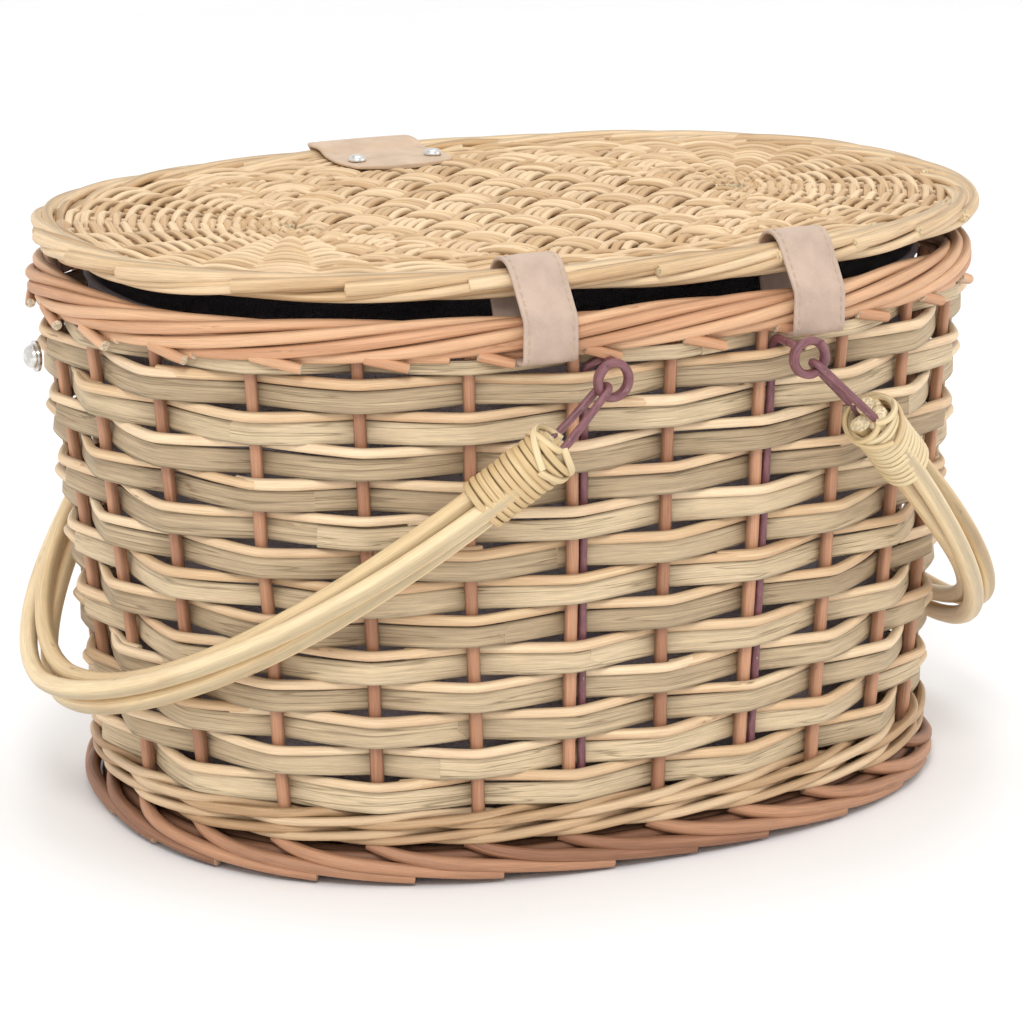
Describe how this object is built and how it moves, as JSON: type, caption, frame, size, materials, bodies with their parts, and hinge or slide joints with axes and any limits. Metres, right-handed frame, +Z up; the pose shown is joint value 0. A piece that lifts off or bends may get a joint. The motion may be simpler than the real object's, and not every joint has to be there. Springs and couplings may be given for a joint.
{
  "type": "wicker picnic basket",
  "caption": "Oval woven willow picnic basket with a hinged lid on leather straps, two swing handles, an insulated liner and a leather closure tab.",
  "frame": {"origin": "on the ground under the middle of the basket", "axes": "+X along the long axis, +Y towards the closure side, -Y the hinge side, +Z up"},
  "size_m": [0.4585, 0.3832, 0.2719],
  "materials": {
    "split_strip": "split willow strip, matt, fine grain",
    "buff_willow": "peeled willow rod, satin",
    "stake_willow": "pink-brown willow rod, satin",
    "foot_willow": "brown willow rod, satin",
    "rim_willow": "pink-orange willow rod, satin",
    "lid_willow": "fine peeled willow rod, satin",
    "handle_willow": "thick peeled willow rod, satin",
    "binding_cane": "wrapped split cane, satin",
    "wire": "plastic-coated wire, semi-gloss",
    "leather": "smooth stitched leather",
    "chrome": "polished",
    "liner_fabric": "woven cooler lining, matt",
    "lining_fabric": "speckled woven lining, matt"
  },
  "bodies": {
    "basket": {"base_sticks": "stake_willow", "base_weave": "buff_willow", "button_base": "chrome", "cooler_liner": "liner_fabric", "flat_strip_01": "split_strip", "flat_strip_02": "split_strip", "flat_strip_03": "split_strip", "flat_strip_04": "split_strip", "flat_strip_05": "split_strip", "flat_strip_06": "split_strip", "flat_strip_07": "split_strip", "flat_strip_08": "split_strip", "flat_strip_09": "split_strip", "flat_strip_10": "split_strip", "flat_strip_11": "split_strip", "flat_strip_12": "split_strip", "flat_strip_13": "split_strip", "flat_strip_14": "split_strip", "foot_border": "foot_willow", "hinge_strap_left": "leather", "hinge_strap_right": "leather", "left_wall_wire_closure": "wire", "left_wall_wire_hinge": "wire", "liner_stud_left": "chrome", "liner_stud_right": "chrome", "lower_wale_1": "buff_willow", "lower_wale_2": "buff_willow", "right_wall_wire_closure": "wire", "right_wall_wire_hinge": "wire", "rim_border": "rim_willow", "round_weavers": "buff_willow", "side_stakes": "stake_willow"},
    "lid": {"lid_border": "lid_willow", "lid_weave": "lid_willow", "lid_sticks": "lid_willow", "lid_lining": "lining_fabric", "closure_tab": "leather", "tab_rivets": "chrome"},
    "flap": {"closure_flap": "leather", "eyelet_plate": "chrome"},
    "button": {"turn_button": "chrome"},
    "left_handle": {"left_handle_rod_1": "handle_willow", "left_handle_rod_2": "handle_willow", "left_handle_rod_3": "handle_willow", "left_handle_binding_hinge": "binding_cane", "left_handle_loop_hinge": "wire", "left_handle_binding_closure": "binding_cane", "left_handle_loop_closure": "wire"},
    "right_handle": {"right_handle_rod_1": "handle_willow", "right_handle_rod_2": "handle_willow", "right_handle_rod_3": "handle_willow", "right_handle_binding_hinge": "binding_cane", "right_handle_loop_hinge": "wire", "right_handle_binding_closure": "binding_cane", "right_handle_loop_closure": "wire"}
  },
  "joints": [
    {"name": "lid_hinge", "type": "hinge", "parent": "basket", "child": "lid", "pos_m": [0, -0.14, 0.2605], "axis": [1, 0, 0], "range_deg": [0, 95]},
    {"name": "left_handle_swing", "type": "hinge", "parent": "basket", "child": "left_handle", "pos_m": [-0.038, 0, 0.223], "axis": [0, -1, 0], "range_deg": [-136.5, 0]},
    {"name": "right_handle_swing", "type": "hinge", "parent": "basket", "child": "right_handle", "pos_m": [0.055, 0, 0.223], "axis": [0, 1, 0], "range_deg": [-143, 0]},
    {"name": "flap_crease", "type": "hinge", "parent": "lid", "child": "flap", "pos_m": [-0.009, 0.1542, 0.269], "axis": [1, 0, 0], "range_deg": [-5.5, 110]},
    {"name": "button_turn", "type": "hinge", "parent": "basket", "child": "button", "pos_m": [-0.009, 0.16, 0.205], "axis": [0, 1, 0], "range_deg": [0, 90]}
  ]
}
